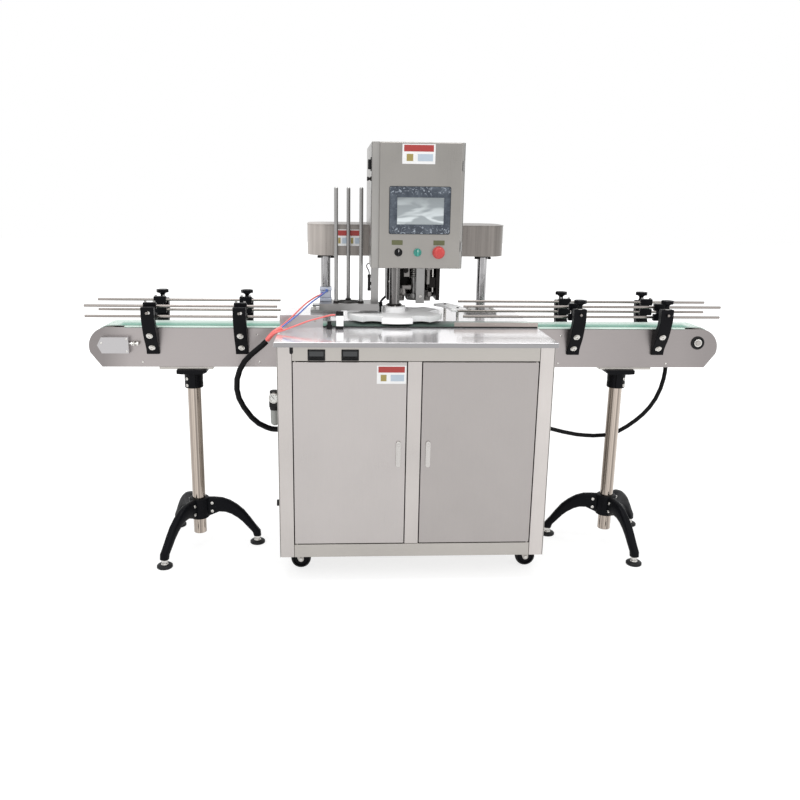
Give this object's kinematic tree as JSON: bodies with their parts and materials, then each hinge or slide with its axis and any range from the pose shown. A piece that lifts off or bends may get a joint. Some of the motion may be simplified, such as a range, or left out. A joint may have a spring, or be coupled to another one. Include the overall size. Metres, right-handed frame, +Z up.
{
  "type": "can seaming machine",
  "caption": "Floor-standing can seamer: belt conveyor on stands, cabinet with table, star wheel, lid magazine, seaming head, control box.",
  "frame": {"origin": "on the floor under the middle of the machine", "axes": "+X along the conveyor from infeed to outfeed, +Y away from the operator, +Z up"},
  "size_m": [2.422, 0.85, 1.581],
  "materials": {
    "frame_steel": "brushed sheet",
    "polished_steel": "bright ground sheet",
    "rod_steel": "bright turned",
    "dark_iron": "machined, oiled",
    "black_iron": "black paint",
    "black_plastic": "moulded",
    "white_plastic": "machined",
    "belt_green": "smooth belt",
    "teal_plastic": "moulded",
    "red_plastic": "moulded",
    "wheel_rubber": "moulded",
    "screen_grey": "smooth",
    "aluminium": "satin",
    "conduit_black": "ribbed",
    "tube_blue": "smooth",
    "tube_red": "smooth"
  },
  "bodies": {
    "machine": {"blue_air_tube": "tube_blue", "cabinet_frame": "frame_steel", "cabinet_skin": "frame_steel", "control_box": "frame_steel", "conveyor_bed": "frame_steel", "conveyor_belt": "belt_green", "filter_regulator": "black_plastic", "front_conveyor_plate": "frame_steel", "head_beam": "frame_steel", "left_column": "polished_steel", "left_conduit": "conduit_black", "left_speed_meter": "black_plastic", "left_stand_base": "black_iron", "left_stand_pole": "frame_steel", "lid_magazine": "polished_steel", "motor_casing": "frame_steel", "outfeed_guide": "white_plastic", "pusher_cylinder": "aluminium", "rear_conveyor_plate": "frame_steel", "red_air_tube": "tube_red", "right_column": "polished_steel", "right_conduit": "conduit_black", "right_speed_meter": "black_plastic", "right_stand_base": "black_iron", "right_stand_pole": "frame_steel", "seaming_frame": "dark_iron", "sensor_air_tube": "tube_red", "table_front": "polished_steel", "table_rear": "polished_steel", "tail_cover": "polished_steel"},
    "left_door": {"left_door": "frame_steel"},
    "right_door": {"right_door": "frame_steel"},
    "left_lever": {"left_door_lever": "polished_steel"},
    "right_lever": {"right_door_lever": "polished_steel"},
    "control_door": {"control_door": "frame_steel", "touch_screen": "screen_grey"},
    "selector": {"selector_switch": "black_plastic"},
    "start": {"start_switch": "teal_plastic"},
    "stop": {"emergency_stop": "red_plastic"},
    "star": {"star_wheel": "white_plastic", "star_shaft": "polished_steel"},
    "spindle": {"seaming_spindle": "rod_steel"},
    "first_arm": {"first_roller_arm": "rod_steel"},
    "second_arm": {"second_roller_arm": "rod_steel"},
    "lifter": {"lifter_plate": "polished_steel"},
    "pusher": {"lid_pusher": "polished_steel"},
    "drive_roller": {"drive_roller": "frame_steel"},
    "tail_roller": {"tail_roller": "frame_steel"},
    "left_front_rail": {"left_front_rail": "rod_steel"},
    "left_rear_rail": {"left_rear_rail": "rod_steel"},
    "right_front_rail": {"right_front_rail": "rod_steel"},
    "right_rear_rail": {"right_rear_rail": "rod_steel"},
    "fork_front_left": {"caster_fork_front_left": "frame_steel"},
    "wheel_front_left": {"caster_wheel_front_left": "wheel_rubber"},
    "fork_front_right": {"caster_fork_front_right": "frame_steel"},
    "wheel_front_right": {"caster_wheel_front_right": "wheel_rubber"},
    "fork_rear_left": {"caster_fork_rear_left": "frame_steel"},
    "wheel_rear_left": {"caster_wheel_rear_left": "wheel_rubber"},
    "fork_rear_right": {"caster_fork_rear_right": "frame_steel"},
    "wheel_rear_right": {"caster_wheel_rear_right": "wheel_rubber"}
  },
  "joints": [
    {"name": "left_door_hinge", "type": "hinge", "parent": "machine", "child": "left_door", "pos_m": [-0.422, -0.41, 0.15], "axis": [0, 0, -1], "range_deg": [0, 110]},
    {"name": "right_door_hinge", "type": "hinge", "parent": "machine", "child": "right_door", "pos_m": [0.422, -0.41, 0.15], "axis": [0, 0, 1], "range_deg": [0, 110]},
    {"name": "left_lever_turn", "type": "hinge", "parent": "left_door", "child": "left_lever", "pos_m": [-0.059, -0.4143, 0.53], "axis": [0, 1, 0], "range_deg": [0, 90]},
    {"name": "right_lever_turn", "type": "hinge", "parent": "right_door", "child": "right_lever", "pos_m": [0.047, -0.4143, 0.53], "axis": [0, -1, 0], "range_deg": [0, 90]},
    {"name": "control_door_hinge", "type": "hinge", "parent": "machine", "child": "control_door", "pos_m": [0.19, -0.0733, 1.121], "axis": [0, 0, 1], "range_deg": [0, 110]},
    {"name": "selector_turn", "type": "hinge", "parent": "control_door", "child": "selector", "pos_m": [-0.047, -0.0856, 1.182], "axis": [0, 1, 0], "range_deg": [-45, 45]},
    {"name": "start_turn", "type": "hinge", "parent": "control_door", "child": "start", "pos_m": [0.025, -0.0856, 1.182], "axis": [0, 1, 0], "range_deg": [0, 45]},
    {"name": "stop_push", "type": "slide", "parent": "control_door", "child": "stop", "axis": [0, 1, 0], "range_m": [0, 0.006], "stiffness_N_per_m": 400},
    {"name": "star_spin", "type": "hinge", "parent": "machine", "child": "star", "pos_m": [-0.047, 0.086, 0.8794], "axis": [0, 0, 1], "continuous": true},
    {"name": "spindle_spin", "type": "hinge", "parent": "machine", "child": "spindle", "pos_m": [0.0455, 0.24621, 0.962], "axis": [0, 0, 1], "continuous": true},
    {"name": "first_arm_swing", "type": "hinge", "parent": "machine", "child": "first_arm", "pos_m": [-0.018, 0.28621, 0.9857], "axis": [0, 0, 1], "range_deg": [-6, 3]},
    {"name": "second_arm_swing", "type": "hinge", "parent": "machine", "child": "second_arm", "pos_m": [0.109, 0.28621, 0.9857], "axis": [0, 0, -1], "range_deg": [-6, 3]},
    {"name": "lifter_lift", "type": "slide", "parent": "machine", "child": "lifter", "axis": [0, 0, 1], "range_m": [0, 0.009]},
    {"name": "pusher_feed", "type": "slide", "parent": "machine", "child": "pusher", "axis": [1, 0, 0], "range_m": [0, 0.02]},
    {"name": "drive_spin", "type": "hinge", "parent": "machine", "child": "drive_roller", "pos_m": [1.131, -0.029, 0.843], "axis": [0, 1, 0], "continuous": true},
    {"name": "tail_spin", "type": "hinge", "parent": "machine", "child": "tail_roller", "pos_m": [-1.131, -0.029, 0.843], "axis": [0, 1, 0], "continuous": true},
    {"name": "left_front_adjust", "type": "slide", "parent": "machine", "child": "left_front_rail", "axis": [0, 1, 0], "range_m": [0, 0.03]},
    {"name": "left_rear_adjust", "type": "slide", "parent": "machine", "child": "left_rear_rail", "axis": [0, -1, 0], "range_m": [0, 0.03]},
    {"name": "right_front_adjust", "type": "slide", "parent": "machine", "child": "right_front_rail", "axis": [0, 1, 0], "range_m": [0, 0.03]},
    {"name": "right_rear_adjust", "type": "slide", "parent": "machine", "child": "right_rear_rail", "axis": [0, -1, 0], "range_m": [0, 0.03]},
    {"name": "swivel_front_left", "type": "hinge", "parent": "machine", "child": "fork_front_left", "pos_m": [-0.4325, -0.284, 0.0997], "axis": [0, 0, 1], "continuous": true},
    {"name": "roll_front_left", "type": "hinge", "parent": "fork_front_left", "child": "wheel_front_left", "pos_m": [-0.4145, -0.284, 0.0375], "axis": [0, 1, 0], "continuous": true},
    {"name": "swivel_front_right", "type": "hinge", "parent": "machine", "child": "fork_front_right", "pos_m": [0.4325, -0.284, 0.0997], "axis": [0, 0, 1], "continuous": true},
    {"name": "roll_front_right", "type": "hinge", "parent": "fork_front_right", "child": "wheel_front_right", "pos_m": [0.4505, -0.284, 0.0375], "axis": [0, 1, 0], "continuous": true},
    {"name": "swivel_rear_left", "type": "hinge", "parent": "machine", "child": "fork_rear_left", "pos_m": [-0.4325, 0.276, 0.0997], "axis": [0, 0, 1], "continuous": true},
    {"name": "roll_rear_left", "type": "hinge", "parent": "fork_rear_left", "child": "wheel_rear_left", "pos_m": [-0.4145, 0.276, 0.0375], "axis": [0, 1, 0], "continuous": true},
    {"name": "swivel_rear_right", "type": "hinge", "parent": "machine", "child": "fork_rear_right", "pos_m": [0.4325, 0.276, 0.0997], "axis": [0, 0, 1], "continuous": true},
    {"name": "roll_rear_right", "type": "hinge", "parent": "fork_rear_right", "child": "wheel_rear_right", "pos_m": [0.4505, 0.276, 0.0375], "axis": [0, 1, 0], "continuous": true}
  ],
  "couplings": [
    {"joint": "tail_spin", "follows": "drive_spin", "ratio": 1}
  ]
}
